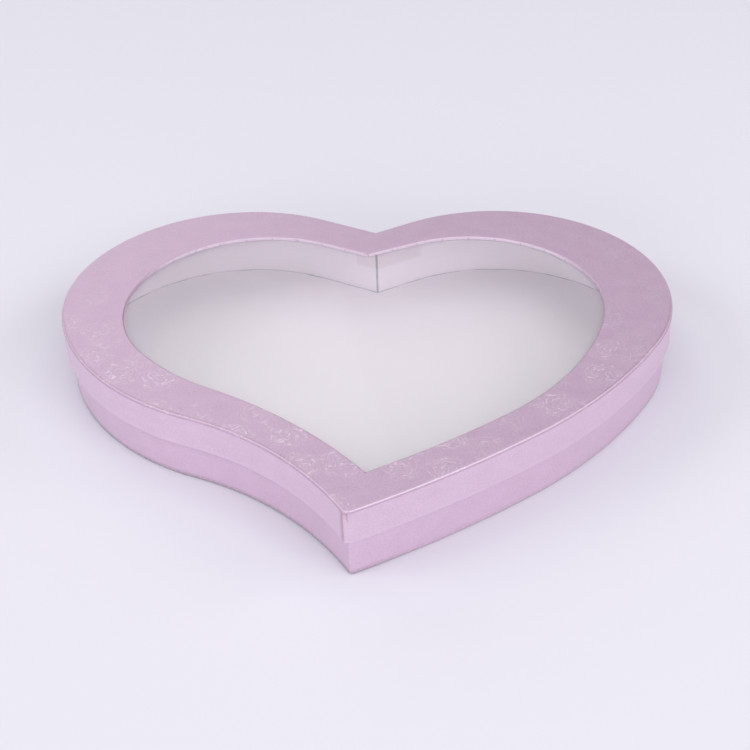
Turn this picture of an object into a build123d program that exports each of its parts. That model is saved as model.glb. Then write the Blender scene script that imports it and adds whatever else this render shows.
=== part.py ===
from build123d import *
import math
import os

# Heart gift box with a window: a shallow heart tray and a lid that slides down over it, both built of
# bent board strips and board panels and covered with pasted paper. Millimetres, +Z up.
# The origin is on the table under the middle of the box, +X to the right and +Y towards the cleft.

# Box
box_width = 300.0
box_depth = 247.6
box_height = 36.5
lid_depth = 17.0
lid_clearance = 0.5

# Heart outline of the box: two lobes, straight runs into the cleft, a bowed right flank, and a left flank
# that turns from a swell to a sweep so that the tip leans. A turn lies along the line from the end of the
# lobe to the point where the flanks meet, and out from that line, by its shares of that line's length.
# The tip is cut off square, short of that point by the blunt.
lobe_radius = 85.0
tip_shift = 1.0
tip_blunt = 1.3
run_slope_share = 0.71
cleft_shift_share = 0.09
left_turn_shares = (0.503, 0.020)
right_turn_shares = (0.500, 0.072)
left_lobe_end = math.radians(21.5)
right_lobe_end = math.radians(28.7)

# Heart outline of the window, set by the width of the border round it
border_left = 32.1
border_right = 33.3
border_back = 28.3
border_tip = 24.9
border_left_flank = 23.2
border_right_flank = 19.0
window_lobe_inset = 19.8
window_tip_shift = 7.9
window_slope_share = 0.66
window_shift_share = 0.01
window_left_lobe_end = math.radians(42.6)
window_right_lobe_end = math.radians(14.5)

# Sheets
wall_board = 1.2
panel_board = 1.5
paper = 0.2
film = 0.25
tape = 0.2
tape_gap = 0.15

# Papers: how far they turn over an edge, lap, or stop short of one
rim_turn = 4.0
floor_turn = 12.0
bottom_margin = 3.0
strip_drop = 1.2
tip_lap = 2.0
liner_seam = 1.0
floor_seam = 0.4
window_turn = 8.0
film_margin = 9.0

# Tapes over the wall joints: how far they reach along each wall and down from the rim
cleft_stay_left = 10.0
cleft_stay_right = 27.0
tip_stay_reach = 12.0
stay_drop = 18.0

# How far a cutting shape runs past what it cuts
overrun = 5.0

# Layers of the walls, counted inwards from the outside of the lid
lid_sheet_inset = paper
lid_board_inset = lid_sheet_inset + paper
lid_turn_inset = lid_board_inset + wall_board
lid_inside = lid_turn_inset + paper
base_inset = lid_inside + lid_clearance
base_board_inset = base_inset + paper
base_liner_inset = base_board_inset + wall_board
base_inside = base_liner_inset + paper

# Levels, counted up from the table
strip_bottom = paper
floor_bottom = strip_bottom + paper
floor_top = floor_bottom + panel_board
floor_face = floor_top + paper
top_level = box_height - paper
top_underside = top_level - panel_board
film_top = top_underside - paper
rim = film_top - film
skirt = box_height - lid_depth
liner_top = rim - rim_turn

half_width = box_width / 2
half_depth = box_depth / 2


def on_circle(centre, radius, angle):
    return centre + Vector(math.cos(angle), math.sin(angle)) * radius


def lobes_and_cleft(left, right, top, radius, slope_share, shift_share):
    # two lobes side by side under a top line, and the point where straight runs off them meet:
    # it lies down the left lobe's run, past the middle by a share of that run
    middle = (left + right) / 2
    out = (right - left) / 2 - radius
    slope = slope_share * math.atan(out / radius)
    run = out - radius * math.sin(slope)
    shift = run * shift_share
    lobe_up = top - radius
    cleft_up = lobe_up + radius * math.cos(slope) - (run + shift) * math.tan(slope)
    return Vector(middle - out, lobe_up), Vector(middle + out, lobe_up), Vector(middle + shift, cleft_up)


def turn_point(start, end, shares, turn):
    # a place along the line from start to end, and out from it
    line = end - start
    out = Vector(line.Y, -line.X) * turn
    return start + line * shares[0] + out * shares[1]


def touch_point(outside, centre, radius, turn):
    # where a line from a point outside a circle touches the circle
    gap = outside - centre
    lean = math.acos(radius / gap.length)
    return on_circle(centre, radius, math.atan2(gap.Y, gap.X) + turn * lean)


def flank(start, lobe, radius, turn, lobe_end, bend, end):
    # one side of a heart: a straight run to the lobe, the lobe, and two tangent arcs to the tip
    run = Line(start, touch_point(start, lobe, radius, turn))
    bow = TangentArc(run @ 1, lobe_end, tangent=run % 1)
    swell = TangentArc(lobe_end, bend, tangent=bow % 1)
    sweep = TangentArc(bend, end, tangent=swell % 1)
    return [run, bow, swell, sweep]


def inward(edge, turn):
    # square to the end of an edge, towards the middle of the heart
    way = edge % 1
    return Vector(-way.Y, way.X) * turn


# Outline of the box
left_lobe, right_lobe, cleft = lobes_and_cleft(
    -half_width, half_width, half_depth, lobe_radius, run_slope_share, cleft_shift_share
)
tip = Vector(tip_shift, -half_depth - tip_blunt)
left_end = on_circle(left_lobe, lobe_radius, math.pi + left_lobe_end)
right_end = on_circle(right_lobe, lobe_radius, -right_lobe_end)
left_bend = turn_point(left_end, tip, left_turn_shares, 1)
right_bend = turn_point(right_end, tip, right_turn_shares, -1)
left_flank = flank(cleft, left_lobe, lobe_radius, 1, left_end, left_bend, tip)
right_flank = flank(cleft, right_lobe, lobe_radius, -1, right_end, right_bend, tip)
outline = make_face(left_flank + right_flank)

# Outline of the window, whose flanks follow those of the box
window_radius = lobe_radius - window_lobe_inset
window_left_lobe, window_right_lobe, window_cleft = lobes_and_cleft(
    border_left - half_width, half_width - border_right, half_depth - border_back,
    window_radius, window_slope_share, window_shift_share,
)
window_tip = Vector(window_tip_shift, border_tip - half_depth)
window_left_end = on_circle(window_left_lobe, window_radius, math.pi + window_left_lobe_end)
window_right_end = on_circle(window_right_lobe, window_radius, -window_right_lobe_end)
window_left_bend = left_bend + inward(left_flank[2], 1) * border_left_flank
window_right_bend = right_bend + inward(right_flank[2], -1) * border_right_flank
window_edges = flank(
    window_cleft, window_left_lobe, window_radius, 1, window_left_end, window_left_bend, window_tip
) + flank(
    window_cleft, window_right_lobe, window_radius, -1, window_right_end, window_right_bend, window_tip
)
window = make_face(window_edges)


def inset(distance):
    # the box outline drawn in by a distance, with sharp corners but for the tip, which is cut off square
    drawn = offset(outline, -distance, kind=Kind.INTERSECTION) if distance else outline
    past_tip = Rectangle(box_width, box_depth, align=(Align.CENTER, Align.MAX))
    return drawn - Pos(0, distance - half_depth) * past_tip


def round_window(distance):
    # the window outline let out by a distance, with sharp corners
    return offset(window, distance, kind=Kind.INTERSECTION)


def sheet(flat, bottom, top):
    return Pos(0, 0, bottom) * extrude(flat, top - bottom, dir=(0, 0, 1))


def ring(outer, inner, bottom, top):
    # a wall layer between two insets and two levels
    return sheet(inset(outer) - inset(inner), bottom, top)


def side(turn, seam, lap):
    # all of the space to one side of a cut from the cleft to the tip, short of the cleft by half a seam,
    # with the foot of the cut moved up the left flank by a lap
    foot = tip - (left_flank[-1] % 1) * lap
    cleft_cut = cleft.X + turn * seam / 2
    far = turn * box_width
    cut = Polyline(
        (cleft_cut, box_depth), (cleft_cut, window_cleft.Y), (foot.X, foot.Y), (foot.X, -box_depth),
        (far, -box_depth), (far, box_depth), close=True,
    )
    return sheet(make_face(cut), -overrun, box_height + overrun)


def halves(solid, seam=0, lap=0):
    return solid & side(-1, seam, lap), solid & side(1, seam, lap)


def stay_and_pocket(board_face, bottom, top, left, right, joint):
    # a paper tape over the joint of the boards at the cleft or at the tip, and the pocket in their inner
    # face that it is pressed into, just clear of the paper over it
    patch = Pos(joint.X + (right - left) / 2, joint.Y) * Rectangle(left + right, half_depth)
    tape_face = board_face - tape_gap
    back = inset(tape_face - tape) & patch
    return sheet(back - inset(tape_face), bottom, top), sheet(back - inset(board_face), bottom, top)


nodes = {}

# Base tray
base_cleft_stay, base_cleft_pocket = stay_and_pocket(
    base_liner_inset, rim - stay_drop, liner_top, cleft_stay_left, cleft_stay_right, cleft
)
base_tip_stay, base_tip_pocket = stay_and_pocket(
    base_liner_inset, rim - stay_drop, liner_top, tip_stay_reach, tip_stay_reach, tip
)
base_wall = ring(base_board_inset, base_liner_inset, floor_bottom, rim - paper)
base_wall -= base_cleft_pocket + base_tip_pocket
base_strip = ring(base_inset, base_board_inset, strip_bottom, rim)
base_strip += ring(base_inset, base_inset + floor_turn, strip_bottom, floor_bottom)
base_strip += ring(base_inset, base_inside, rim - paper, rim)
base_strip += ring(base_liner_inset, base_inside, liner_top, rim)
base_liner = ring(base_liner_inset, base_inside, floor_top, liner_top)
nodes["base_floor_board"] = sheet(inset(base_liner_inset), floor_bottom, floor_top)
nodes["base_wall_board_left"], nodes["base_wall_board_right"] = halves(base_wall)
nodes["base_cleft_stay"] = base_cleft_stay
nodes["base_tip_stay"] = base_tip_stay
nodes["base_wall_wrap_left"], nodes["base_wall_wrap_right"] = halves(base_strip, lap=tip_lap)
nodes["base_bottom_paper"] = sheet(inset(base_inset + bottom_margin), 0, strip_bottom)
nodes["base_floor_liner"] = sheet(inset(base_inside + floor_seam), floor_top, floor_face)
nodes["base_wall_liner_left"], nodes["base_wall_liner_right"] = halves(base_liner, seam=liner_seam)

# Lid
lid_cleft_stay, lid_cleft_pocket = stay_and_pocket(
    lid_turn_inset, skirt + rim_turn, rim, cleft_stay_left, cleft_stay_left, cleft
)
lid_tip_stay, lid_tip_pocket = stay_and_pocket(
    lid_turn_inset, skirt + rim_turn, rim, tip_stay_reach, tip_stay_reach, tip
)
lid_wall = ring(lid_board_inset, lid_turn_inset, skirt + paper, top_level)
lid_wall -= lid_cleft_pocket + lid_tip_pocket
lid_sheet = sheet(inset(lid_sheet_inset) - window, top_level, box_height)
lid_sheet += ring(lid_sheet_inset, lid_board_inset, skirt + paper, box_height)
lid_sheet += sheet(round_window(paper) - window, film_top, box_height)
lid_sheet += sheet(round_window(window_turn) - window, film_top, top_underside)
lid_strip = ring(0, lid_sheet_inset, skirt, box_height - strip_drop)
lid_strip += ring(0, lid_inside, skirt, skirt + paper)
lid_strip += ring(lid_turn_inset, lid_inside, skirt, rim)
nodes["lid_top_board"] = sheet(inset(lid_turn_inset) - round_window(paper), top_underside, top_level)
nodes["lid_wall_board_left"], nodes["lid_wall_board_right"] = halves(lid_wall)
nodes["lid_cleft_stay"] = lid_cleft_stay
nodes["lid_tip_stay"] = lid_tip_stay
nodes["lid_top_wrap"] = lid_sheet
nodes["lid_wall_wrap_left"], nodes["lid_wall_wrap_right"] = halves(lid_strip, lap=tip_lap)
nodes["lid_window_film"] = sheet(round_window(film_margin), rim, film_top)
nodes["lid_window_liner"] = sheet(inset(lid_turn_inset) - round_window(film_margin), rim, top_underside)

os.makedirs("parts", exist_ok=True)
for name, solid in nodes.items():
    export_step(solid, f"parts/{name}.step")
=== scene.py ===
import math
import bmesh
import bpy
import numpy as np
from mathutils import Matrix, Vector


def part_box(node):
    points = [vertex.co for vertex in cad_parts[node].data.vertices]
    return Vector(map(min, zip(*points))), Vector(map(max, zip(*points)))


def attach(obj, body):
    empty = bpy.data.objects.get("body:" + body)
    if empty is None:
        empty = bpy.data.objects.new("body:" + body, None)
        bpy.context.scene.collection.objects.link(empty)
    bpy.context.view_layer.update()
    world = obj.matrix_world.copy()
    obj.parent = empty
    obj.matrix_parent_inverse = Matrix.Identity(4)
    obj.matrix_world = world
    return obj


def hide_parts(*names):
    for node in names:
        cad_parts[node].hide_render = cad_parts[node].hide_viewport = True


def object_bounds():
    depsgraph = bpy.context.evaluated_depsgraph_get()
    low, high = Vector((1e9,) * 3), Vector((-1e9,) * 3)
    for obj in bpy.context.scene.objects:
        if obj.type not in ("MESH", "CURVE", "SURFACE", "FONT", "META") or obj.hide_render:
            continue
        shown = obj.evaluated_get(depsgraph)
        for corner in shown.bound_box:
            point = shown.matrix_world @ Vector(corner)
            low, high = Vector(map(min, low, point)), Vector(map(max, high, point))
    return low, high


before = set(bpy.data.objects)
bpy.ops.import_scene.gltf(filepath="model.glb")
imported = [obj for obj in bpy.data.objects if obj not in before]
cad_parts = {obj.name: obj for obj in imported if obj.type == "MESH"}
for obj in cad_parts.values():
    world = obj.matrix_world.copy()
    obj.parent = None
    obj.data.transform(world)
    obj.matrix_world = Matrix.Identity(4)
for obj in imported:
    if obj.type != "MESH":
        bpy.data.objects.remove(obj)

# Heart gift box: a shallow tray and a window lid covered in pearl lilac paper with pressed roses.
# Metres, +Z up, in the frame of the solids. A point of an outline is a complex number, x + iy.
cadLow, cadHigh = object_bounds()
scene = bpy.context.scene
scene.view_settings.view_transform = "Standard"


def low(node):
    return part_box(node)[0]


def high(node):
    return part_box(node)[1]


# levels up from the table, read from the solids
levels = dict(
    top=high("lid_top_wrap").z,
    boardTop=high("lid_top_board").z,
    boardUnder=low("lid_top_board").z,
    filmTop=high("lid_window_film").z,
    stripTop=high("lid_wall_wrap_left").z,
    skirt=low("lid_wall_wrap_left").z,
    rim=high("base_wall_wrap_left").z,
    stripFoot=low("base_wall_wrap_left").z,
    floorTop=high("base_floor_board").z,
    floorFace=high("base_floor_liner").z,
    linerTop=high("base_wall_liner_left").z,
)
paper = levels["top"] - levels["boardTop"]
outside = low("lid_wall_wrap_left").x

# how far each layer lies in from the outside of the lid
layers = dict(
    sheet=low("lid_top_wrap").x - outside,
    lidTurn=low("lid_top_board").x - outside,
    base=low("base_wall_wrap_left").x - outside,
    liner=low("base_wall_liner_left").x - outside,
)
layers["lidInside"] = layers["lidTurn"] + paper
layers["baseInside"] = layers["liner"] + paper

# shape of the two hearts, as in the solids: sizes in metres, angles in degrees
boxHeart = dict(
    lobeRadius=0.085, tipShift=0.0010, blunt=0.0013, slopeShare=0.71, shiftShare=0.09,
    leftTurn=(0.503, 0.020), rightTurn=(0.500, 0.072), leftLobeEnd=21.5, rightLobeEnd=28.7,
)
windowHeart = dict(
    left=0.0321, right=0.0333, back=0.0283, tip=0.0249, leftFlank=0.0232, rightFlank=0.0190,
    lobeInset=0.0198, tipShift=0.0079, slopeShare=0.66, shiftShare=0.01,
    leftLobeEnd=42.6, rightLobeEnd=14.5,
)

# columns of the grid on each stretch of an outline
columns = dict(run=22, bow=84, swell=30, sweep=30, lap=3, bevel=4, facet=4, corner=8)
cornerHalf = columns["corner"] // 2
lapColumn = cornerHalf + columns["run"] + columns["bow"] + columns["swell"] + columns["sweep"]
tipColumn = lapColumn + columns["lap"] + columns["bevel"] + columns["facet"] // 2
straight = 1e-6     # bend of a straight run, next to nothing
tipLap = 0.0002     # how far the side papers lap past the blunt tip's left edge
facetShare = 0.2    # share of the blunt tip that each of its eased edges takes


def lobesAndCleft(left, right, top, radius, slopeShare, shiftShare):
    # lobe centres side by side under the top line, and the cleft down the left lobe's run
    middle = (left + right) / 2
    out = (right - left) / 2 - radius
    slope = slopeShare * math.atan(out / radius)
    run = out - radius * math.sin(slope)
    shift = run * shiftShare
    up = top - radius
    cleftUp = up + radius * math.cos(slope) - (run + shift) * math.tan(slope)
    return complex(middle - out, up), complex(middle + out, up), complex(middle + shift, cleftUp)


def arcTo(start, heading, end):
    # tangent arc: it bends by twice the angle between its first heading and its chord
    chord = end - start
    bend = 2 * np.angle(chord / heading)
    return dict(start=start, heading=heading, bend=bend, length=abs(chord) * (bend / 2) / np.sin(bend / 2))


def endHeading(part):
    return part["heading"] * np.exp(1j * part["bend"])


def flank(cleft, lobe, radius, turn, lobeEnd, bendPoint, tip):
    # one side of a heart from cleft to tip: straight run, lobe, and two tangent arcs
    gap = cleft - lobe
    touch = lobe + radius * np.exp(1j * (np.angle(gap) + turn * math.acos(radius / abs(gap))))
    heading = (touch - cleft) / abs(touch - cleft)
    run = dict(start=cleft, heading=heading, bend=straight, length=abs(touch - cleft))
    bow = arcTo(touch, heading, lobeEnd)
    swell = arcTo(lobeEnd, endHeading(bow), bendPoint)
    return [run, bow, swell, arcTo(bendPoint, endHeading(swell), tip)]


def onLobe(lobe, radius, degrees):
    return lobe + radius * np.exp(1j * math.radians(degrees))


def turnPoint(start, end, shares, turn):
    # a place along the line from start to end, and out from it
    line = end - start
    return start + line * (shares[0] - 1j * turn * shares[1])


def heartPath(size, left, right, top, radius, tip, level, bendPoints):
    # a heart between its left, right and top lines: the cleft, the tip and the two flanks
    leftLobe, rightLobe, cleft = lobesAndCleft(
        left, right, top, radius, size["slopeShare"], size["shiftShare"])
    leftEnd = onLobe(leftLobe, radius, 180 + size["leftLobeEnd"])
    rightEnd = onLobe(rightLobe, radius, -size["rightLobeEnd"])
    leftBend, rightBend = bendPoints(leftEnd, rightEnd)
    return dict(
        cleft=cleft, tip=tip, level=level,
        left=flank(cleft, leftLobe, radius, 1, leftEnd, leftBend, tip),
        right=flank(cleft, rightLobe, radius, -1, rightEnd, rightBend, tip),
    )


def boxPath():
    size = boxHeart
    tip = complex(size["tipShift"], cadLow.y - size["blunt"])

    def bendPoints(leftEnd, rightEnd):
        return turnPoint(leftEnd, tip, size["leftTurn"], 1), turnPoint(rightEnd, tip, size["rightTurn"], -1)

    return heartPath(size, cadLow.x, cadHigh.x, cadHigh.y, size["lobeRadius"], tip, cadLow.y, bendPoints)


def windowPath(box):
    size = windowHeart
    tip = complex(size["tipShift"], cadLow.y + size["tip"])

    def bendPoints(leftEnd, rightEnd):
        # the window's flanks bend beside those of the box, a border's width further in
        left, right = box["left"][3], box["right"][3]
        return (left["start"] + 1j * left["heading"] * size["leftFlank"],
                right["start"] - 1j * right["heading"] * size["rightFlank"])

    # its level line lies far below, so the window's tip is not cut off
    return heartPath(
        size, cadLow.x + size["left"], cadHigh.x - size["right"], cadHigh.y - size["back"],
        boxHeart["lobeRadius"] - size["lobeInset"], tip, 2 * cadLow.y, bendPoints)


def along(part, share, inset, side):
    # start + length heading (e^(i bend share) - 1) / (i bend), then inwards, square to the path
    turned = np.exp(1j * part["bend"] * share)
    point = part["start"] + part["length"] * part["heading"] * (turned - 1) / (1j * part["bend"])
    return point + inset * side * 1j * part["heading"] * turned


def bendCentre(part):
    return part["start"] + 1j * part["length"] * part["heading"] / part["bend"]


def bendRadius(part, side, inset):
    # of the arc drawn in by the inset; its sign says to which side the arc bends
    return inset * side - part["length"] / part["bend"]


def nearer(one, two, goal):
    return np.where(abs(one - goal) < abs(two - goal), one, two)


def meetingPoint(path, inset):
    # where the two last arcs, drawn in by the inset, cross near the tip: two circles and their chord
    ends = ((path["left"][3], 1), (path["right"][3], -1))
    centres = [bendCentre(p) for p, s in ends]
    radii = [abs(bendRadius(p, s, inset)) for p, s in ends]
    gap = centres[1] - centres[0]
    base = (abs(gap) ** 2 + radii[0] ** 2 - radii[1] ** 2) / (2 * abs(gap))
    rise = np.sqrt(radii[0] ** 2 - base ** 2)
    one, two = (centres[0] + gap / abs(gap) * (base + s * 1j * rise) for s in (1, -1))
    return nearer(one, two, path["tip"])


def tipShare(part, side, inset, point):
    # share of the last arc at which it reaches the meeting point
    turned = (point - bendCentre(part)) / (1j * part["heading"] * bendRadius(part, side, inset))
    return np.angle(turned) / part["bend"]


def levelPoint(part, side, inset, level, near):
    # where the last arc, drawn in by the inset, crosses a level line near the tip
    centre = bendCentre(part)
    reach = np.sqrt(np.maximum(bendRadius(part, side, inset) ** 2 - (level - centre.imag) ** 2, 0))
    one, two = (centre.real + s * reach + 1j * level for s in (1, -1))
    return nearer(one, two, near)


def heartLoop(path, inset, ease):
    # rows of outline points, one row for each inset, from the cleft round by the left lobe and the tip.
    # Offset runs meet again at the cleft and offset arcs at the tip, which is cut off square where the
    # level line lies above it. Corners are eased by a quadratic curve (1-t)^2 A + 2t(1-t) C + t^2 B.
    inset = np.asarray(inset, float).reshape(-1, 1)
    left, right = path["left"], path["right"]
    ends = ((left[3], 1), (right[3], -1))
    inwards = [1j * left[0]["heading"], -1j * right[0]["heading"]]
    cleft = path["cleft"] + inset * sum(inwards) / (1 + (inwards[0] * np.conj(inwards[1])).real)
    sharp = meetingPoint(path, inset)
    level = path["level"] + inset
    blunt = level > sharp.imag
    edges = [np.where(blunt, levelPoint(p, s, inset, level, sharp), sharp) for p, s in ends]
    cleftShares = [
        ((cleft - path["cleft"] - inset * i) * np.conj(p["heading"])).real / p["length"] + ease / p["length"]
        for p, i in zip((left[0], right[0]), inwards)]
    tipShares = [tipShare(p, s, inset, e) - ease / p["length"] for (p, s), e in zip(ends, edges)]
    lapShare = tipShares[0] - tipLap / left[3]["length"]

    def stretch(part, side, begin, end, count):
        return along(part, begin + (end - begin) * np.linspace(0, 1, count, endpoint=False), inset, side)

    def corner(before, peak, after, shares):
        return (1 - shares) ** 2 * before + 2 * shares * (1 - shares) * peak + shares ** 2 * after

    leftStart = along(left[0], cleftShares[0], inset, 1)
    rightStart = along(right[0], cleftShares[1], inset, -1)
    leftFoot = along(left[3], tipShares[0], inset, 1)
    rightFoot = along(right[3], tipShares[1], inset, -1)
    # a tip that is not cut off is one eased corner, drawn as two halves that meet in its middle
    middle = (leftFoot + 2 * sharp + rightFoot) / 4
    facet = edges[1] - edges[0]
    leftPeak = np.where(blunt, edges[0], (leftFoot + sharp) / 2)
    rightPeak = np.where(blunt, edges[1], (rightFoot + sharp) / 2)
    leftFlat = np.where(blunt, edges[0] + facet * facetShare, middle)
    rightFlat = np.where(blunt, edges[1] - facet * facetShare, middle)
    bevel = np.linspace(0, 1, columns["bevel"], endpoint=False)
    return np.hstack([
        corner(rightStart, cleft, leftStart, np.linspace(0.5, 1, cornerHalf, endpoint=False)),
        stretch(left[0], 1, cleftShares[0], 1, columns["run"]),
        stretch(left[1], 1, 0, 1, columns["bow"]),
        stretch(left[2], 1, 0, 1, columns["swell"]),
        stretch(left[3], 1, 0, lapShare, columns["sweep"]),
        stretch(left[3], 1, lapShare, tipShares[0], columns["lap"]),
        corner(leftFoot, leftPeak, leftFlat, bevel),
        leftFlat + (rightFlat - leftFlat) * np.linspace(0, 1, columns["facet"], endpoint=False),
        corner(rightFlat, rightPeak, rightFoot, bevel),
        stretch(right[3], -1, tipShares[1], 0, columns["sweep"]),
        stretch(right[2], -1, 1, 0, columns["swell"]),
        stretch(right[1], -1, 1, 0, columns["bow"]),
        stretch(right[0], -1, 1, cleftShares[1], columns["run"]),
        corner(rightStart, cleft, leftStart, np.linspace(0, 0.5, cornerHalf + 1)),
    ])


boxHeartPath = boxPath()
windowHeartPath = windowPath(boxHeartPath)
print("outlines: cleft", boxHeartPath["cleft"], "window cleft", windowHeartPath["cleft"])


def foldedProfile(points, radius, runSteps, foldSteps, crowd=1):
    # section of a folded sheet as inset + i height: straight runs, and at each corner a quarter circle
    # corner - u r + v r + r (u sin a - v cos a), with u the way in and v the way out.
    # Rows of the first run lie at its shares raised to the crowd, closer together at its start.
    points = np.array([complex(*point) for point in points])
    ways = np.diff(points) / abs(np.diff(points))
    begins = points[:-1] + np.append(0, ways[1:] * radius)
    ends = points[1:] - np.append(ways[:-1] * radius, 0)
    turn = np.linspace(0, math.pi / 2, foldSteps + 2)[1:-1]
    rows = []
    for k in range(len(ways)):
        shares = np.linspace(0, 1, runSteps[k] + 1) ** (1 if k else crowd)
        rows.append(begins[k] + (ends[k] - begins[k]) * shares)
        if k + 1 < len(ways):
            centre = points[k + 1] + radius * (ways[k + 1] - ways[k])
            rows.append(centre + radius * (ways[k] * np.sin(turn) - ways[k + 1] * np.cos(turn)))
    return np.concatenate(rows)


def foldedPair(front, back, fold, runSteps, foldSteps, crowd=1):
    # the two faces of a folded sheet, with their folds nested
    return (foldedProfile(front, fold, runSteps, foldSteps, crowd),
            foldedProfile(back, fold - paper, runSteps, foldSteps, crowd))


def fade(values, begin, end):
    # from 0 at begin to 1 at end, and level beyond
    return np.clip((values - begin) / (end - begin), 0, 1)


def nearness(values, reach):
    # 1 at zero, dying away over the reach
    return np.exp(-np.maximum(values, 0) / reach)


def between(least, most, share):
    return least + (most - least) * share


def lengthAlong(points):
    # distance along a row of points from its start
    return np.append(0, np.cumsum(abs(np.diff(points))))


def stack(*parts):
    # equal arrays side by side as vectors
    return np.stack(np.broadcast_arrays(*parts), -1)


def ringQuads(rings, length, closed):
    # quads between neighbouring rings of points, numbered ring by ring
    steps = np.arange(rings if closed else rings - 1)
    ring, place = np.meshgrid(steps, np.arange(length), indexing="ij")
    nextRing = (ring + 1) % rings
    nextPlace = (place + 1) % length
    corners = [ring * length + place, nextRing * length + place,
               nextRing * length + nextPlace, ring * length + nextPlace]
    return np.stack(corners, -1).reshape(-1, 4)


def endQuads(first, length):
    # a thin section's end: quads between its front points and the back points that face them
    place = np.arange(length // 2 - 1)
    corners = [place, place + 1, length - 2 - place, length - 1 - place]
    return first + np.stack(corners, -1)


meshing = dict(mergeWithin=1e-7, smoothDegrees=40)


def sheetMesh(name, grid, places, marks, closed):
    # grid[column, place] is a section carried along a path: front points, then the back ones returning.
    # An axis before those two counts strips that lie apart.
    count, length = grid.shape[-3:-1]
    quads = [ringQuads(count, length, closed)]
    if not closed:
        quads += [endQuads(0, length), endQuads((count - 1) * length, length)]
    firsts = np.arange(0, grid.size // 3, count * length)
    quads = (firsts[:, None, None] + np.concatenate(quads)).reshape(-1, 4)
    mesh = bpy.data.meshes.new(name)
    mesh.vertices.add(grid.size // 3)
    mesh.vertices.foreach_set("co", grid.astype(np.float32).ravel())
    mesh.loops.add(quads.size)
    mesh.loops.foreach_set("vertex_index", quads.astype(np.int32).ravel())
    mesh.polygons.add(len(quads))
    mesh.polygons.foreach_set("loop_start", np.arange(0, quads.size, 4, dtype=np.int32))
    mesh.update(calc_edges=True)
    for key, values in (("place", places), ("marks", marks)):
        mesh.attributes.new(key, "FLOAT_VECTOR", "POINT")
        mesh.attributes[key].data.foreach_set("vector", values.astype(np.float32).ravel())
    work = bmesh.new()
    work.from_mesh(mesh)
    bmesh.ops.remove_doubles(work, verts=work.verts, dist=meshing["mergeWithin"])
    bmesh.ops.recalc_face_normals(work, faces=work.faces)
    work.to_mesh(mesh)
    work.free()
    mesh.shade_smooth()
    mesh.set_sharp_from_angle(angle=math.radians(meshing["smoothDegrees"]))
    piece = bpy.data.objects.new(name, mesh)
    scene.collection.objects.link(piece)
    return piece


def fit(piece, body, slot, material, *nodes):
    piece.data.materials.append(material)
    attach(piece, body)
    if nodes:
        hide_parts(*nodes)
    print("made", piece.name, len(piece.data.polygons), "faces")


# Node helpers: a value that is a socket is linked, any other is set
def feed(tree, node, values):
    for key, value in values.items():
        if isinstance(value, bpy.types.NodeSocket):
            tree.links.new(value, node.inputs[key])
        else:
            node.inputs[key].default_value = value


def addNode(tree, kind, values=None, **settings):
    made = tree.nodes.new(kind)
    for key, value in settings.items():
        setattr(made, key, value)
    feed(tree, made, values or {})
    return made


def maths(tree, operation, *values):
    return addNode(tree, "ShaderNodeMath", dict(enumerate(values)), operation=operation).outputs[0]


def times(tree, one, two):
    return maths(tree, "MULTIPLY", one, two)


def vectorMaths(tree, operation, *values):
    made = addNode(tree, "ShaderNodeVectorMath", dict(enumerate(values)), operation=operation)
    return made.outputs["Value" if operation == "LENGTH" else "Vector"]


def splitVector(tree, vector):
    return addNode(tree, "ShaderNodeSeparateXYZ", {0: vector}).outputs


def ramp(tree, value, begin, end, least=0.0, most=1.0, smooth=False):
    # value from begin to end becomes least to most
    kind = "SMOOTHSTEP" if smooth else "LINEAR"
    inputs = {"Value": value, "From Min": begin, "From Max": end, "To Min": least, "To Max": most}
    return addNode(tree, "ShaderNodeMapRange", inputs, interpolation_type=kind).outputs["Result"]


def noise(tree, place, scale, detail, roughness=0.5, **settings):
    inputs = {"Vector": place, "Scale": scale, "Detail": detail, "Roughness": roughness}
    return addNode(tree, "ShaderNodeTexNoise", inputs, **settings).outputs


def blendColour(tree, share, one, two):
    return addNode(tree, "ShaderNodeMix", {0: share, 6: one, 7: two}, data_type="RGBA").outputs[2]


def makeGroup(name, inputs, outputs):
    group = bpy.data.node_groups.new(name, "ShaderNodeTree")
    for key, kind in inputs.items():
        group.interface.new_socket(key, in_out="INPUT", socket_type="NodeSocket" + kind)
    for key in outputs:
        group.interface.new_socket(key, in_out="OUTPUT", socket_type="NodeSocketFloat")
    return group, group.nodes.new("NodeGroupInput").outputs, group.nodes.new("NodeGroupOutput")


def useGroup(tree, key, values):
    return addNode(tree, "ShaderNodeGroup", values, node_tree=effects[key]).outputs


# Pressed roses: lengths in shares of a rose's cell, but the bounds across the sheet in metres
roseLook = dict(
    bendScale=3.4, bendDetail=2.0, bend=(0.32, 0.32, 0), randomness=0.8,
    across=(-0.04, 0.01), coarse=(1.7, 1.15), bold=(1.0, 0.85),
    ringTwist=1.9, anyTurn=6.28, petals=1.5, spiral=0.159, swing=0.45,
    edge=(0.30, 0.50), clearSpan=0.6, clear=(0.40, 1.0), rimRise=(0.15, 0.60), rimFall=(0.70, 1.0),
    breakScale=9.0, breakDetail=2.0, breakSpan=(0.50, 0.64), breakShare=(0.18, 1.0),
)


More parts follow.
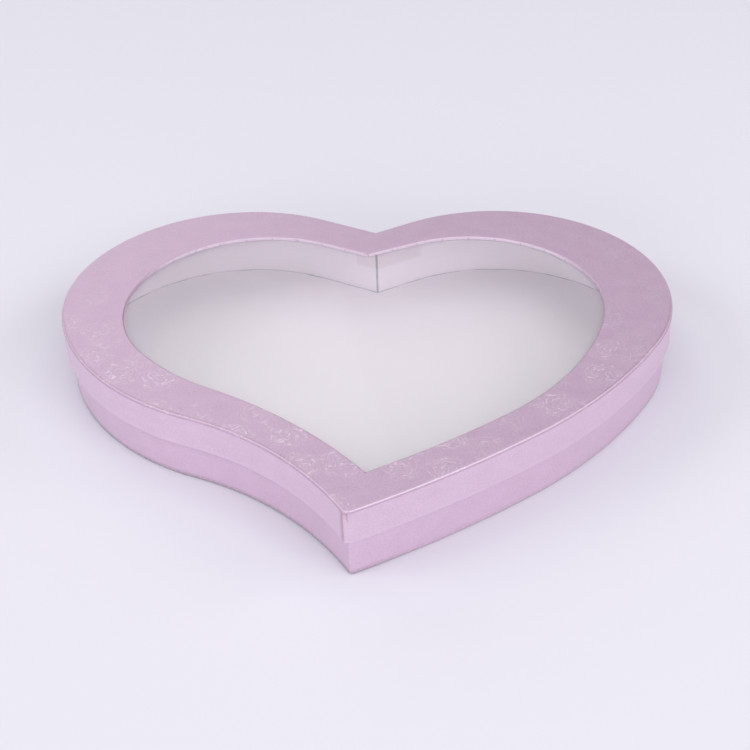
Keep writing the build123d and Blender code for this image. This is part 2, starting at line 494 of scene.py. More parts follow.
def rosePress():
    # roses pressed into the paper: a rose in each cell, its petal rims steps along
    # radius / pitch + spiral * angle + swing * |sin(petals * angle + a twist for each ring)|
    look = roseLook
    tree, given, result = makeGroup(
        "rose press", dict(Place="Vector", Shift="Vector", Cell="Float", Pitch="Float", Cover="Float"),
        ["Height", "Stroke"])
    size = addNode(tree, "ShaderNodeCombineXYZ", dict.fromkeys(range(3), given["Cell"])).outputs[0]
    scaled = vectorMaths(tree, "DIVIDE", vectorMaths(tree, "ADD", given["Place"], given["Shift"]), size)
    bent = noise(tree, scaled, look["bendScale"], look["bendDetail"], noise_dimensions="2D")
    push = vectorMaths(tree, "SUBTRACT", bent["Color"], (0.5, 0.5, 0.5))
    place = vectorMaths(tree, "ADD", scaled, vectorMaths(tree, "MULTIPLY", push, look["bend"]))
    inputs = {"Vector": place, "Scale": 1.0, "Randomness": look["randomness"]}
    cell = addNode(tree, "ShaderNodeTexVoronoi", inputs, voronoi_dimensions="2D").outputs
    local = vectorMaths(tree, "SUBTRACT", place, cell["Position"])
    axes = splitVector(tree, local)
    chance = addNode(tree, "ShaderNodeSeparateColor", {0: cell["Color"]}).outputs
    radius = vectorMaths(tree, "LENGTH", local)
    angle = maths(tree, "ARCTAN2", axes[1], axes[0])
    # roses to the left are coarser and bolder than those to the right
    middle = vectorMaths(tree, "MULTIPLY", cell["Position"], size)
    across = splitVector(tree, vectorMaths(tree, "SUBTRACT", middle, given["Shift"]))[0]
    coarse = ramp(tree, across, *look["across"], *look["coarse"])
    bold = ramp(tree, across, *look["across"], *look["bold"])
    pitch = times(tree, given["Pitch"], coarse)
    ring = maths(tree, "DIVIDE", times(tree, radius, given["Cell"]), pitch)
    begin = times(tree, chance[0], look["anyTurn"])
    twist = maths(tree, "MULTIPLY_ADD", maths(tree, "FLOOR", ring), look["ringTwist"], begin)
    petal = maths(tree, "SINE", maths(tree, "MULTIPLY_ADD", angle, look["petals"], twist))
    spiral = maths(tree, "MULTIPLY_ADD", angle, look["spiral"], ring)
    wave = maths(tree, "MULTIPLY_ADD", maths(tree, "ABSOLUTE", petal), look["swing"], spiral)
    wave = maths(tree, "FRACT", wave)
    inside = ramp(tree, radius, *look["edge"], 1.0, 0.0, smooth=True)
    # only some cells hold a clear rose, the rest stay fainter
    bare = maths(tree, "SUBTRACT", 1.0, given["Cover"])
    clear = ramp(tree, chance[1], bare, maths(tree, "ADD", bare, look["clearSpan"]), *look["clear"])
    rise = ramp(tree, wave, *look["rimRise"], smooth=True)
    fall = ramp(tree, wave, *look["rimFall"], 1.0, 0.0, smooth=True)
    pressed = times(tree, times(tree, rise, fall), times(tree, inside, clear))
    # painted highlight: the petal rims catch the light over part of their length only
    broken = noise(tree, place, look["breakScale"], look["breakDetail"], noise_dimensions="2D")
    part = ramp(tree, broken["Fac"], *look["breakSpan"], *look["breakShare"], smooth=True)
    stroke = times(tree, pressed, times(tree, part, bold))
    feed(tree, result, {"Height": pressed, "Stroke": stroke})
    return tree


grainLook = dict(
    fineDetail=3.0, fineRoughness=0.6, fineShare=0.7,
    stretch=(0.7, 1.0, 1.0), longScale=0.12, longDetail=4.0, longRoughness=0.65, longShare=0.3,
)


def paperGrain():
    # fibre and calender marks of a coated paper: two noises, the coarse one stretched along the sheet
    look = grainLook
    tree, given, result = makeGroup("paper grain", dict(Place="Vector", Fibre="Float"), ["Tone", "Height"])
    fine = noise(tree, given["Place"], given["Fibre"], look["fineDetail"], look["fineRoughness"])["Fac"]
    stretched = addNode(tree, "ShaderNodeMapping", {"Vector": given["Place"], "Scale": look["stretch"]})
    scale = times(tree, given["Fibre"], look["longScale"])
    long = noise(tree, stretched.outputs[0], scale, look["longDetail"], look["longRoughness"])["Fac"]
    long = times(tree, long, look["longShare"])
    feed(tree, result, {"Tone": maths(tree, "MULTIPLY_ADD", fine, look["fineShare"], long), "Height": fine})
    return tree


rubLook = dict(scale=600.0, detail=4.0, roughness=0.7, levelShare=0.8, soft=0.25)


def edgeRub():
    # rubbed folds, and on some folds a painted highlight: the fold mark broken up by noise
    look = rubLook
    tree, given, result = makeGroup("edge rub and highlight", dict(Place="Vector", Fold="Float", Amount="Float"), ["RubAndHighlight"])
    patches = noise(tree, given["Place"], look["scale"], look["detail"], look["roughness"])["Fac"]
    level = maths(tree, "SUBTRACT", 1.0, given["Amount"])
    begin = times(tree, level, look["levelShare"])
    end = maths(tree, "MULTIPLY_ADD", level, look["levelShare"], look["soft"])
    wearAndPaintedLight = ramp(tree, patches, begin, end, smooth=True)
    feed(tree, result, {"RubAndHighlight": times(tree, wearAndPaintedLight, given["Fold"])})
    return tree


effects = dict(rose=rosePress(), grain=paperGrain(), rub=edgeRub())


def newMaterial(name):
    material = bpy.data.materials.new(name)
    material.use_nodes = True
    tree = material.node_tree
    return material, tree, tree.nodes["Principled BSDF"]


def markSockets(tree):
    # the sheet's own flat place, and its marks: fold (rubbed, and on some folds a painted highlight), cut
    # edge or back, and a rubbed, stained, painted-shade or toned patch
    place, marks = (addNode(tree, "ShaderNodeAttribute", attribute_name=name).outputs["Vector"]
                    for name in ("place", "marks"))
    return place, splitVector(tree, marks)


grainSpan = (0.3, 0.7)      # tones of the grain, from its dark to its light


def paperFinish(tree, shader, look, grain, colour, pressed=0.0):
    # what all papers share: a colour, a gloss that follows the grain, and a relief
    gloss = ramp(tree, grain["Tone"], *grainSpan, *look["roughness"])
    relief = maths(tree, "MULTIPLY_ADD", grain["Height"], look["grainDepth"], pressed)
    bump = addNode(tree, "ShaderNodeBump", {"Height": relief, "Strength": 1.0, "Distance": 1.0}).outputs[0]
    feed(tree, shader, {"Base Color": colour, "Roughness": gloss, "Normal": bump})


# stroke is the pale colour of the petal rims' painted highlight; rub is that of rubbed folds and of painted
# fold highlights; cut is the cut edge
lilacLook = dict(
    stroke=(0.800, 0.665, 0.790, 1), rub=(0.860, 0.760, 0.860, 1), cut=(0.520, 0.360, 0.470, 1),
    fibre=1100.0, toneSpan=(0.35, 0.65), roughness=(0.34, 0.50), metallic=0.20, grainDepth=0.000012,
    roseCell=0.022, rosePitch=0.0015, roseShift=(-0.52, 0.44, 0.0), rubAmount=0.72,
    frontEdge=(0.055, -0.02), frontShine=(0.15, 1.0),
    speckScale=900.0, speckDetail=2.0, speckSpan=(0.35, 0.60), speckShare=(0.45, 1.0),
)
# One pearl paper in three tones, lit and shaded copies as painted light: the lid sides paler where the front
# light falls, the top and the base sides deeper. The top's larger stroke share paints more highlight on its
# petal rims, and the base sides' dark colour is only painted contact shade at the foot.
topTones = dict(
    deep=(0.483, 0.338, 0.475, 1), pale=(0.580, 0.430, 0.573, 1), wearAndShade=(0.300, 0.130, 0.165, 1),
    strokeShare=0.62, pressDepth=0.00005, cover=0.85,
)
lidSideTones = dict(
    deep=(0.600, 0.436, 0.582, 1), pale=(0.695, 0.526, 0.676, 1), wearAndShade=(0.330, 0.160, 0.190, 1),
    strokeShare=0.16, pressDepth=0.00003, cover=0.7,
)
baseSideTones = dict(
    deep=(0.574, 0.412, 0.554, 1), pale=(0.667, 0.497, 0.645, 1), wearAndShade=(0.110, 0.095, 0.125, 1),
    strokeShare=0.16, pressDepth=0.00003, cover=0.7,
)


def lilacPaper(name, tones):
    # pearl paper: lilac tone from the grain, pressed roses in the relief and as pale petal rims painted as
    # highlights that grow towards the front, rubbed folds partly painted as highlights, and rubbed lines,
    # stains and painted shade in the darker colour
    look = lilacLook
    material, tree, shader = newMaterial(name)
    place, (fold, cut, wearAndPaintedLight) = markSockets(tree)
    grain = useGroup(tree, "grain", {"Place": place, "Fibre": look["fibre"]})
    rose = useGroup(tree, "rose", {
        "Place": place, "Shift": look["roseShift"], "Cell": look["roseCell"], "Pitch": look["rosePitch"],
        "Cover": tones["cover"]})
    rub = useGroup(tree, "rub", {"Place": place, "Fold": fold, "Amount": look["rubAmount"]})
    # painted highlight: the petal rims show paler towards the front, where the light falls
    front = ramp(tree, splitVector(tree, place)[1], *look["frontEdge"], *look["frontShine"], smooth=True)
    shine = times(tree, times(tree, rose["Stroke"], front), tones["strokeShare"])
    specks = noise(tree, place, look["speckScale"], look["speckDetail"])["Fac"]
    patchy = times(tree, wearAndPaintedLight, ramp(tree, specks, *look["speckSpan"], *look["speckShare"]))
    colour = blendColour(tree, ramp(tree, grain["Tone"], *look["toneSpan"]), tones["deep"], tones["pale"])
    colour = blendColour(tree, shine, colour, look["stroke"])
    colour = blendColour(tree, rub["RubAndHighlight"], colour, look["rub"])
    colour = blendColour(tree, cut, colour, look["cut"])
    # rubbed lines, stains and painted shade
    colour = blendColour(tree, patchy, colour, tones["wearAndShade"])
    paperFinish(tree, shader, look, grain, colour, times(tree, rose["Height"], tones["pressDepth"]))
    feed(tree, shader, {"Metallic": look["metallic"]})
    return material


whiteLook = dict(
    patch=(0.680, 0.560, 0.655, 1), patchShare=0.75, fibre=500.0, roughness=(0.50, 0.65), grainDepth=0.000006,
)
floorTones = dict(white=(0.758, 0.698, 0.786, 1), warm=(0.728, 0.668, 0.748, 1))
# the walls' white is paler and more lilac than the floor's: painted bounce light from the lilac paper
wallTones = dict(white=(0.803, 0.710, 0.819, 1), warm=(0.777, 0.679, 0.781, 1))


def whitePaper(name, tones):
    # coated white paper, with the tape under it showing through as a dull patch
    look = whiteLook
    material, tree, shader = newMaterial(name)
    place, marks = markSockets(tree)
    grain = useGroup(tree, "grain", {"Place": place, "Fibre": look["fibre"]})
    colour = blendColour(tree, ramp(tree, grain["Tone"], *grainSpan), tones["white"], tones["warm"])
    colour = blendColour(tree, times(tree, marks[2], look["patchShare"]), colour, look["patch"])
    paperFinish(tree, shader, look, grain, colour)
    return material


boardLook = dict(
    dark=(0.290, 0.275, 0.330, 1), light=(0.450, 0.430, 0.495, 1), fleck=(0.140, 0.135, 0.160, 1),
    fibre=350.0, roughness=(0.75, 0.92), grainDepth=0.00004,
)
# the stay tape is darkened to the tone of the seam gaps it shows through: partly its own colour, partly
# painted shade
tapeLook = dict(
    dark=(0.205, 0.178, 0.200, 1), light=(0.272, 0.240, 0.266, 1), fleck=(0.140, 0.124, 0.136, 1),
    fibre=500.0, roughness=(0.60, 0.75), grainDepth=0.00002,
)
cardLook = dict(
    dark=(0.730, 0.715, 0.735, 1), light=(0.800, 0.785, 0.810, 1), fleck=(0.700, 0.680, 0.690, 1),
    fibre=500.0, roughness=(0.55, 0.70), grainDepth=0.00001,
)
fleckLook = dict(scale=1400.0, detail=2.0, span=(0.66, 0.74))


def plainPaper(name, look):
    # uncoated sheets of the solids: fibre noise on object coordinates, with darker flecks
    material, tree, shader = newMaterial(name)
    place = addNode(tree, "ShaderNodeTexCoord").outputs["Object"]
    grain = useGroup(tree, "grain", {"Place": place, "Fibre": look["fibre"]})
    specks = noise(tree, place, fleckLook["scale"], fleckLook["detail"])["Fac"]
    colour = blendColour(tree, ramp(tree, grain["Tone"], *grainSpan), look["dark"], look["light"])
    colour = blendColour(tree, ramp(tree, specks, *fleckLook["span"], smooth=True), colour, look["fleck"])
    paperFinish(tree, shader, look, grain, colour)
    return material


filmLook = dict(
    colour=(1, 1, 1, 1), roughness=0.05, alpha=(0.02, 0.20), blend=0.3,
    waveScale=14.0, waveDetail=1.0, waveStrength=0.2, waveDepth=0.001,
)


def clearFilm(name):
    # thin clear film: seen only by its gloss, which grows at a slant
    look = filmLook
    material, tree, shader = newMaterial(name)
    facing = addNode(tree, "ShaderNodeLayerWeight", {"Blend": look["blend"]}).outputs["Fresnel"]
    place = addNode(tree, "ShaderNodeTexCoord").outputs["Object"]
    waves = noise(tree, place, look["waveScale"], look["waveDetail"])["Fac"]
    bump = addNode(tree, "ShaderNodeBump", {
        "Height": waves, "Strength": look["waveStrength"], "Distance": look["waveDepth"]}).outputs[0]
    feed(tree, shader, {"Base Color": look["colour"], "Roughness": look["roughness"], "Normal": bump,
                        "Alpha": ramp(tree, facing, 0.0, 1.0, *look["alpha"])})
    return material


materials = dict(
    lidTop=lilacPaper("lilac_paper_top", topTones),
    lidSide=lilacPaper("lilac_paper_lid_side", lidSideTones),
    baseSide=lilacPaper("lilac_paper_base_side", baseSideTones),
    floorWhite=whitePaper("white_paper_floor", floorTones),
    wallWhite=whitePaper("white_paper_wall", wallTones),
    board=plainPaper("grey_board", boardLook),
    tape=plainPaper("stay_tape_paper", tapeLook),
    card=plainPaper("white_card", cardLook),
    film=clearFilm("clear_film_sheet"),
)
print("materials:", len(materials))

# Where rubbing, stains, dark lines, painted shade and painted highlights show: bounds from none to full along
# x, y, -x or -y
markBounds = dict(
    darkFront=(-0.045, -0.015), darkLeft=(0.0, 0.02), darkRight=(0.085, 0.115),
    brightLeft=(0.0, 0.004), brightRight=(-0.115, -0.080), brightFront=(0.0, 0.02),
    windowBack=(0.05, 0.075), windowFront=(-0.05, 0.0), tipFront=(0.11, 0.12), footLeft=(-0.03, 0.0),
)


def shadedSides(x, y):
    # painted shade on the edges: the left flank, and the right lobe down to the flank
    sides = np.maximum(fade(-x, *markBounds["darkLeft"]), fade(x, *markBounds["darkRight"]))
    return fade(-y, *markBounds["darkFront"]) * sides


def brightSide(x, y):
    # where the front light runs along the fold: the right flank
    across = fade(x, *markBounds["brightLeft"]) * fade(-x, *markBounds["brightRight"])
    return across * fade(-y, *markBounds["brightFront"])


def windowRubAndHighlight(y):
    # a little rub all round the window's edge, and a painted highlight on its far edge, which faces the front
    # light
    return between(topSheet["windowLeast"], topSheet["windowHighlight"], fade(y, *markBounds["windowBack"]))


def withBack(grid, frontMarks):
    # marks of the front points, and the back points marked as a cut edge or back
    count = frontMarks.shape[1]
    marks = np.zeros(grid.shape)
    marks[:, :count] = frontMarks
    marks[:, count:, 1] = 1
    return marks


# Lid top sheet: the turned-down side, the border round the window, and the sleeve in the window edge.
# Lengths, steps of the grid, shares of a fold from or to which a mark reaches, and each mark's strength.
topSheet = dict(
    fold=0.0006, windowFold=0.0005, ease=0.0004, sleeve=0.0007, turn=0.004,
    sideSteps=[8, 3], sleeveSteps=[3, 3], foldSteps=6, borderRows=14,
    # the fold's rub grows to its most as a painted highlight along the right flank, and the window edge's as
    # a painted highlight on its far edge
    rubReach=0.00012, rubLeast=0.20, rubMost=0.52, lineReach=0.00010, lineFrom=0.25, lineMost=0.42,
    windowHighlight=0.62, windowLeast=0.10, windowBandFrom=0.5, windowLine=0.75, windowLineTo=0.9,
    stainFrom=0.0026, stainReach=0.0011, stainShare=0.5, spotShift=-0.0012, spotReach=0.0008, spotMost=0.9,
)


def topSheetMarks(face, side, sleeve):
    size = topSheet
    rows = face.shape[1]
    x, y = face[..., 0], face[..., 1]
    point = x + 1j * y

    def onSide(values):
        return np.pad(values, (0, rows - len(values)))

    def onSleeve(values):
        return np.pad(values, (rows - len(values), 0))

    # rubbed folds, with painted highlights along the right flank and on the window's far edge; a dark line of
    # painted shade where the fold leaves the top; and a stain at the tip
    sideAway = abs(side.real - layers["sheet"] + levels["top"] - side.imag)
    sideFoldNear = onSide(nearness(sideAway - sideAway.min(), size["rubReach"]))
    sleeveBand = onSleeve(sleeve.imag < levels["top"] - size["windowFold"] * size["windowBandFrom"])
    lineAway = abs(side - complex(layers["sheet"] + size["fold"], levels["top"]))
    line = onSide(nearness(lineAway - size["fold"] * size["lineFrom"], size["lineReach"]))
    stain = nearness(abs(point - boxHeartPath["tip"]) - size["stainFrom"], size["stainReach"])
    rub = sideFoldNear * between(size["rubLeast"], size["rubMost"], brightSide(x, y)) + sleeveBand * windowRubAndHighlight(y)
    wearAndPaintedLight = np.maximum(line * shadedSides(x, y), sideFoldNear * stain * size["stainShare"]) * size["lineMost"]
    # a thin dark line on the near edges of the window, and a small brown spot beside its cleft
    sleeveLine = onSleeve(sleeve.real < size["windowFold"] * size["windowLineTo"])
    spot = nearness(abs(point - windowHeartPath["cleft"] - size["spotShift"]), size["spotReach"])
    near = np.maximum(fade(-y, *markBounds["windowFront"]) * size["windowLine"], spot * size["spotMost"])
    return stack(rub, 0.0, np.maximum(wearAndPaintedLight, sleeveLine * near))


def lidTopSheet():
    size = topSheet
    sheet, top, under = layers["sheet"], levels["top"], levels["boardTop"]
    inner = sheet + paper
    turned = sheet + size["turn"]
    foot = levels["skirt"] + paper
    sleeveFoot = top - size["sleeve"]
    sideFront, sideBack = foldedPair(
        [(sheet, foot), (sheet, top), (turned, top)], [(inner, foot), (inner, under), (turned, under)],
        size["fold"], size["sideSteps"], size["foldSteps"])
    # in the window's section the inset is how far out of the window edge a point lies
    sleeveFront, sleeveBack = foldedPair(
        [(size["turn"], top), (0, top), (0, sleeveFoot)],
        [(size["turn"], under), (paper, under), (paper, sleeveFoot)],
        size["windowFold"], size["sleeveSteps"], size["foldSteps"])
    share = np.linspace(0, 1, size["borderRows"] + 2)[1:-1, None]

    def joined(sideInset, windowInset):
        # rows of the side, of the border that runs straight across, and of the sleeve
        outer = heartLoop(boxHeartPath, sideInset, size["ease"])
        hole = heartLoop(windowHeartPath, windowInset, size["ease"])
        return np.vstack([outer, outer[-1] * (1 - share) + hole[0] * share, hole])

    def risen(side, sleeve, height):
        return np.concatenate([side.imag, np.full(len(share), height), sleeve.imag])

    front = joined(sideFront.real, -sleeveFront.real)
    back = joined(sideBack.real, -sleeveBack.real)
    rows = np.vstack([front, back[::-1]])[:, :-1]
    rise = np.append(risen(sideFront, sleeveFront, top), risen(sideBack, sleeveBack, under)[::-1])
    grid = stack(rows.real, rows.imag, rise[:, None]).transpose(1, 0, 2)
    # flat place on the sheet: the outline let out, or the window drawn in, by the length that is folded
    sideFlat, sleeveFlat = lengthAlong(sideFront), lengthAlong(sleeveFront)
    flat = joined(sideFront.real[-1] + sideFlat - sideFlat[-1], sleeveFlat - sleeveFront.real[0])
    flat = np.vstack([flat, flat[::-1]])[:, :-1].T
    marks = withBack(grid, topSheetMarks(grid[:, :len(front)], sideFront, sleeveFront))
    piece = sheetMesh("lid_top_sheet", grid, stack(flat.real, flat.imag, 0), marks, True)
    fit(piece, "lid", "lilac_paper", materials["lidTop"], "lid_top_wrap")


# Tabs of the top sheet, slit and turned in under the window edge
windowTabs = dict(
    pitch=0.014, gap=0.0004, turn=0.008, fold=0.0003, foldNest=0.9, runSteps=[2, 4], foldSteps=3, columns=6,
)


def lidWindowTabs():
    size = windowTabs
    steps = size["runSteps"], size["foldSteps"]
    sleeveFoot = levels["top"] - topSheet["sleeve"]
    film, under = levels["filmTop"], levels["boardUnder"]
    front = foldedProfile([(0, sleeveFoot), (0, film), (size["turn"], film)], size["fold"], *steps)
    back = foldedProfile([(paper, sleeveFoot), (paper, under), (size["turn"], under)],
                         size["fold"] - paper * size["foldNest"], *steps)
    section = np.concatenate([front, back[::-1]])
    loops = heartLoop(windowHeartPath, -section.real, topSheet["ease"])
    length = lengthAlong(heartLoop(windowHeartPath, 0, topSheet["ease"])[0])
    edges = np.linspace(0, length[-1], round(length[-1] / size["pitch"]) + 1)[:, None]
    share = np.linspace(0, 1, size["columns"])
    stops = (edges[:-1] + size["gap"] / 2) * (1 - share) + (edges[1:] - size["gap"] / 2) * share
    rows = np.stack([np.interp(stops, length, row.real) + 1j * np.interp(stops, length, row.imag)
                     for row in loops], -1)
    upright = np.append(front.real < size["fold"] / 2, np.zeros(len(back)))
    cut = np.append(np.zeros(len(front)), np.ones(len(back)))
    grid = stack(rows.real, rows.imag, section.imag)
    # the upright part of each tab takes the window edge's rub and painted highlight
    marks = stack(upright * windowRubAndHighlight(rows.imag), cut, 0.0)
    piece = sheetMesh("lid_window_tabs", grid, stack(rows.real, rows.imag, 0), marks, False)
    fit(piece, "lid", "lilac_paper", materials["lidTop"])


# Side papers: an outer face, folded in at the foot or the rim, one paper along each half of the outline
sidePaper = dict(
    fold=0.0005, foldSteps=5, ease=0.0003, lapLift=0.00012, crowd=2, rubReach=0.0003, rubMost=0.10,
    # the upper edge's line is the cut edge at its least and painted shade at its most; the foot line is
    # painted contact shade
    edgeReach=0.00018, edgeMost=0.45, edgeLeast=0.10, lapMost=0.85, lapReach=0.00020, stainReach=0.0010,
    creaseFoot=0.006, creaseTop=0.002, footReach=0.0005, footLeft=1.0, footRight=0.45, footFrom=1 / 3,
)
lidPaper = dict(runSteps=[12, 2, 6])
basePaper = dict(runSteps=[3, 14, 2, 3], footTurn=0.012)
halves = dict(left=slice(0, lapColumn + 1), right=slice(lapColumn, None))


def sideStrips(body, front, back, runSteps, material, wearAndShade):
    # a folded section carried along each half of the box outline
    size = sidePaper
    corners = [complex(*point) for point in front[1:-1]]
    start = front[0][0]
    front, back = foldedPair(front, back, size["fold"], runSteps, size["foldSteps"], size["crowd"])
    rows = np.concatenate([front, back[::-1]])
    loops = heartLoop(boxHeartPath, rows.real, size["ease"])
    length = lengthAlong(heartLoop(boxHeartPath, start, size["ease"])[0])
    across = np.append(lengthAlong(front), lengthAlong(front)[::-1])
    foldAway = np.min([abs(c - front) for c in corners], 0)
    rub = nearness(foldAway - size["fold"], size["rubReach"]) * size["rubMost"]
    for side, span in halves.items():
        part = loops[:, span].copy()
        if side == "right":
            # its end stands a little proud where it laps over the left paper
            part[:, :columns["lap"]] -= 1j * endHeading(boxHeartPath["left"][3]) * size["lapLift"]
        grid = stack(part.real, part.imag, rows.imag[:, None]).transpose(1, 0, 2)
        places = stack(length[span][:, None], across, 0)
        marks = withBack(grid, stack(rub, 0.0, wearAndShade(grid[:, :len(front)], length[span])))
        piece = sheetMesh(body + "_side_paper_" + side, grid, places, marks, False)
        fit(piece, body, "lilac_paper", material, body + "_wall_wrap_" + side)


def lidWearAndShade(face, length):
    # a dark line along the upper edge, the cut edge all round and painted shade on the left flank and right
    # lobe, a rubbed line down the lap, a shorter one down the blunt tip, and a stain at the top of the tip
    size = sidePaper
    x, y, z = face[..., 0], face[..., 1], face[..., 2]
    below = z - levels["stripTop"]
    edge = nearness(-below, size["edgeReach"]) * between(size["edgeLeast"], size["edgeMost"], shadedSides(x, y))
    whole = lengthAlong(heartLoop(boxHeartPath, 0, size["ease"])[0])
    lap, crease = (nearness(abs(length - whole[k]), size["lapReach"])[:, None] * size["lapMost"]
                   for k in (lapColumn, tipColumn))
    crease = crease * fade(below, -size["creaseFoot"], -size["creaseTop"])
    stain = nearness(abs(x + 1j * below - boxHeart["tipShift"]), size["stainReach"])
    stain = stain * fade(-y, *markBounds["tipFront"]) * size["lapMost"]
    return np.max([edge, lap * (z > levels["skirt"] + paper), crease, stain], 0)


def baseFootShade(face, length):
    # painted contact shade along the foot, darker on the left
    size = sidePaper
    most = between(size["footRight"], size["footLeft"], fade(-face[..., 0], *markBounds["footLeft"]))
    up = face[..., 2] - levels["stripFoot"]
    return nearness(up - size["fold"] * size["footFrom"], size["footReach"]) * most


def lidSides():
    foot, top, end = levels["skirt"], levels["stripTop"], levels["rim"]
    inside, turn = layers["lidInside"], layers["lidTurn"]
    inFoot = foot + paper
    front = [(0, top), (0, foot), (inside, foot), (inside, end)]
    back = [(paper, top), (paper, inFoot), (turn, inFoot), (turn, end)]
    sideStrips("lid", front, back, lidPaper["runSteps"], materials["lidSide"], lidWearAndShade)


def baseSides():
    outer, rim, foot = layers["base"], levels["rim"], levels["stripFoot"]
    under = outer + basePaper["footTurn"]
    inside, liner, end = layers["baseInside"], layers["liner"], levels["linerTop"]
    inOuter, inFoot, inRim = outer + paper, foot + paper, rim - paper
    front = [(under, foot), (outer, foot), (outer, rim), (inside, rim), (inside, end)]
    back = [(under, inFoot), (inOuter, inFoot), (inOuter, inRim), (liner, inRim), (liner, end)]
    sideStrips("base", front, back, basePaper["runSteps"], materials["baseSide"], baseFootShade)


# White lining of the tray walls, with the joint tape showing through it at the cleft
wallLining = dict(seam=0.00065, rows=24, tapeLeft=0.0125, tapeRight=0.027, tapeFoot=0.01635, tapeEdge=0.0005)


def wallLinings():
    size = wallLining
    rise = np.linspace(levels["floorTop"], levels["linerTop"], size["rows"])
    heights = np.append(rise, rise[::-1])
    insets = np.repeat([layers["baseInside"], layers["liner"]], size["rows"])
    loops = heartLoop(boxHeartPath, insets, size["seam"])
    length = lengthAlong(loops[0])
    spans = (("left", slice(cornerHalf, tipColumn + 1), size["tapeLeft"], length),
             ("right", slice(tipColumn, -cornerHalf), size["tapeRight"], length[-1] - length))
    for side, span, reach, fromCleft in spans:
        part = loops[:, span]
        beside = fade(reach - fromCleft[span][:, None], 0, size["tapeEdge"])
        tape = beside * fade(heights - size["tapeFoot"], 0, size["tapeEdge"])
        grid = stack(part.real, part.imag, heights[:, None]).transpose(1, 0, 2)
        places = stack(length[span][:, None], heights, 0)
        piece = sheetMesh("tray_wall_lining_" + side, grid, places, stack(0.0, 0.0, tape), False)
        fit(piece, "base", "white_paper", materials["wallWhite"], "base_wall_liner_" + side)


# White floor paper, cut by hand a little short of the walls: its edge wavers in three waves, each with
# its count round the outline and where it begins
floorPaper = dict(
    gap=0.0008, waver=0.0005, rows=24, centre=0.01j, ease=0.0012, waves=((23, 1.0), (41, 2.2), (67, 0.4)),
)


def trayFloor():
    size = floorPaper
    inside = layers["baseInside"]
    wall, edge = heartLoop(boxHeartPath, [inside, inside + size["gap"]], size["ease"])
    length = lengthAlong(wall)
    around = 2 * math.pi * length / length[-1]
    waver = sum(np.sin(around * count + begin) for count, begin in size["waves"]) / len(size["waves"])
    inward = (edge - wall) / abs(edge - wall)
    edge = (edge + inward * size["waver"] * waver)[:-1]
    rows = size["centre"] + (edge[:, None] - size["centre"]) * np.linspace(0, 1, size["rows"])
    rows = np.hstack([rows, rows[:, ::-1]])
    heights = np.repeat([levels["floorFace"], levels["floorTop"]], size["rows"])
    places = stack(rows.real, rows.imag, 0)
    piece = sheetMesh("tray_floor_paper", stack(rows.real, rows.imag, heights), places, 0 * places, True)
    fit(piece, "base", "white_paper", materials["floorWhite"], "base_floor_liner")


lidTopSheet()
lidWindowTabs()
lidSides()
baseSides()
wallLinings()
trayFloor()

# Solids that keep their shape get their finish here
finishes = dict(
    board=["base_floor_board", "base_wall_board_left", "base_wall_board_right",
           "lid_top_board", "lid_wall_board_left", "lid_wall_board_right"],
    tape=["base_cleft_stay", "base_tip_stay", "lid_cleft_stay", "lid_tip_stay"],
    card=["base_bottom_paper", "lid_window_liner"],
    film=["lid_window_film"],
)
for finish, nodes in finishes.items():
    for node in nodes:
        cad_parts[node].data.materials.clear()
        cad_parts[node].data.materials.append(materials[finish])
print("finishes on", sum(map(len, finishes.values())), "solids")


# Floor, light and camera
floorLook = dict(half=9.0, colour=(0.730, 0.715, 0.794, 1), roughness=0.9, fadeFrom=0.45, fadeTo=1.6)


def stageFloor():
    look = floorLook
    half = look["half"]
    corners = [(-half, -half, 0), (half, -half, 0), (half, half, 0), (-half, half, 0)]
    mesh = bpy.data.meshes.new("stage_floor")
    mesh.from_pydata(corners, [], [(0, 1, 2, 3)])
    floor = bpy.data.objects.new("stage_floor", mesh)
    scene.collection.objects.link(floor)
    material, tree, shader = newMaterial("stage_floor")
    # far from the object the eye sees the backdrop in place of the floor, so no horizon shows
    place = addNode(tree, "ShaderNodeTexCoord").outputs["Object"]
    far = ramp(tree, vectorMaths(tree, "LENGTH", place), look["fadeFrom"], look["fadeTo"], smooth=True)
    direct = addNode(tree, "ShaderNodeLightPath").outputs["Is Camera Ray"]
    shown = maths(tree, "SUBTRACT", 1.0, times(tree, far, direct))
    feed(tree, shader, {"Base Color": look["colour"], "Roughness": look["roughness"], "Alpha": shown})
    mesh.materials.append(material)


lamps = dict(
    frontRight=dict(place=(1.76, -2.08, 1.92), size=(2.56, 1.92), power=51.0),
    frontLow=dict(place=(-1.12, -3.04, 0.96), size=(2.88, 1.12), power=41.0),
    left=dict(place=(-2.80, -0.48, 1.90), size=(1.92, 1.28), power=34.0),
    right=dict(place=(2.60, 0.30, 1.50), size=(1.92, 1.28), power=20.0),
    backLeft=dict(place=(-1.60, 2.56, 1.92), size=(2.88, 1.92), power=22.0),
    above=dict(place=(0.0, 0.16, 2.40), size=(2.88, 2.88), power=22.0),
)
skyLook = dict(colour=(1.0, 1.0, 1.0, 1), strength=0.21, backdrop=(0.78, 0.77, 0.85, 1))


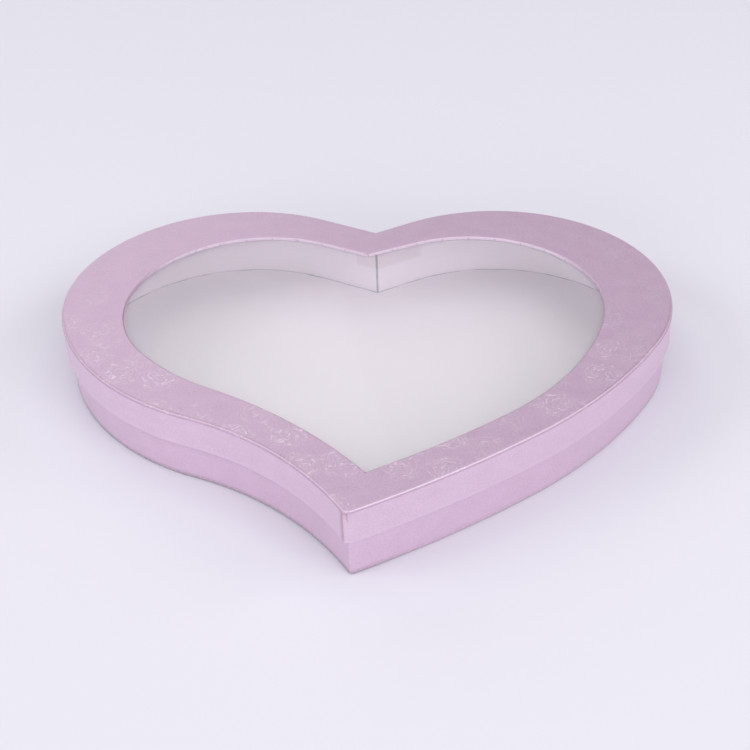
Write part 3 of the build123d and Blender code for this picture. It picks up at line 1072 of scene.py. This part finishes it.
def studioLight():
    for name, lamp in lamps.items():
        light = bpy.data.lights.new("lamp_" + name, "AREA")
        light.shape = "RECTANGLE"
        light.size, light.size_y = lamp["size"]
        light.energy = lamp["power"]
        holder = bpy.data.objects.new("lamp_" + name, light)
        place = Vector(lamp["place"])
        aim = (-place).to_track_quat("-Z", "Y").to_matrix().to_4x4()
        holder.matrix_world = Matrix.Translation(place) @ aim
        scene.collection.objects.link(holder)
    world = bpy.data.worlds.new("studio")
    world.use_nodes = True
    tree = world.node_tree
    sky = tree.nodes["Background"]
    feed(tree, sky, {"Color": skyLook["colour"], "Strength": skyLook["strength"]})
    # the eye sees a pale backdrop past the floor's end
    seen = addNode(tree, "ShaderNodeBackground", {"Color": skyLook["backdrop"]})
    direct = addNode(tree, "ShaderNodeLightPath").outputs["Is Camera Ray"]
    both = addNode(tree, "ShaderNodeMixShader", {0: direct, 1: sky.outputs[0], 2: seen.outputs[0]})
    feed(tree, tree.nodes["World Output"], {"Surface": both.outputs[0]})
    scene.world = world


# the photograph's view: where the camera stands, how far it looks down, turns and tilts (degrees), its
# focal length and picture width (pixels), its sensor (millimetres) and the nearest thing it sees
viewer = dict(
    place=(0.04538, -0.53682, 0.39843), down=35.458, turn=-4.162, tilt=2.284,
    focal=1376.1, picture=750, sensor=36, nearest=0.01,
)


def photoCamera():
    down, turn, tilt = (math.radians(viewer[k]) for k in ("down", "turn", "tilt"))
    ahead = Vector((math.sin(turn) * math.cos(down), math.cos(turn) * math.cos(down), -math.sin(down)))
    right = Vector((math.cos(turn), -math.sin(turn), 0))
    up = right.cross(ahead)
    acrossAxis = right * math.cos(tilt) - up * math.sin(tilt)
    upAxis = right * math.sin(tilt) + up * math.cos(tilt)
    camera = bpy.data.cameras.new("photo_camera")
    camera.sensor_width = viewer["sensor"]
    camera.lens = viewer["sensor"] * viewer["focal"] / viewer["picture"]
    camera.clip_start = viewer["nearest"]
    holder = bpy.data.objects.new("photo_camera", camera)
    axes = Matrix((acrossAxis, upAxis, -ahead)).transposed().to_4x4()
    holder.matrix_world = Matrix.Translation(viewer["place"]) @ axes
    scene.collection.objects.link(holder)
    scene.camera = holder


stageFloor()
studioLight()
photoCamera()
print("stage, light and camera set")

bpy.context.view_layer.update()
